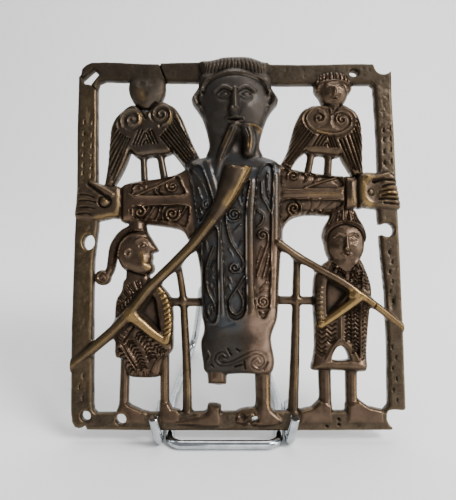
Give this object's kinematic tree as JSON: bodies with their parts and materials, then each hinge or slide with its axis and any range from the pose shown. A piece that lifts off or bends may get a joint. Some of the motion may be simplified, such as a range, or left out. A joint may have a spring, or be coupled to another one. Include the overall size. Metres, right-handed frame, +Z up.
{
  "type": "relief plaque",
  "caption": "Openwork cast bronze relief plaque of a robed figure with outstretched arms, leaning on a bent chromed wire stand.",
  "frame": {"origin": "on the table under the middle of the whole object's box", "axes": "+Z up, -Y towards the viewer of the plaque's front, +X to that viewer's right"},
  "size_m": [0.1484, 0.1004, 0.1622],
  "materials": {
    "bronze": "dark brown patinated cast bronze, worn golden on the raised edges",
    "chrome_wire": "polished chrome wire"
  },
  "bodies": {
    "root": {"plaque": "bronze", "stand_frame": "chrome_wire", "left_hook": "chrome_wire", "right_hook": "chrome_wire"}
  },
  "joints": []
}
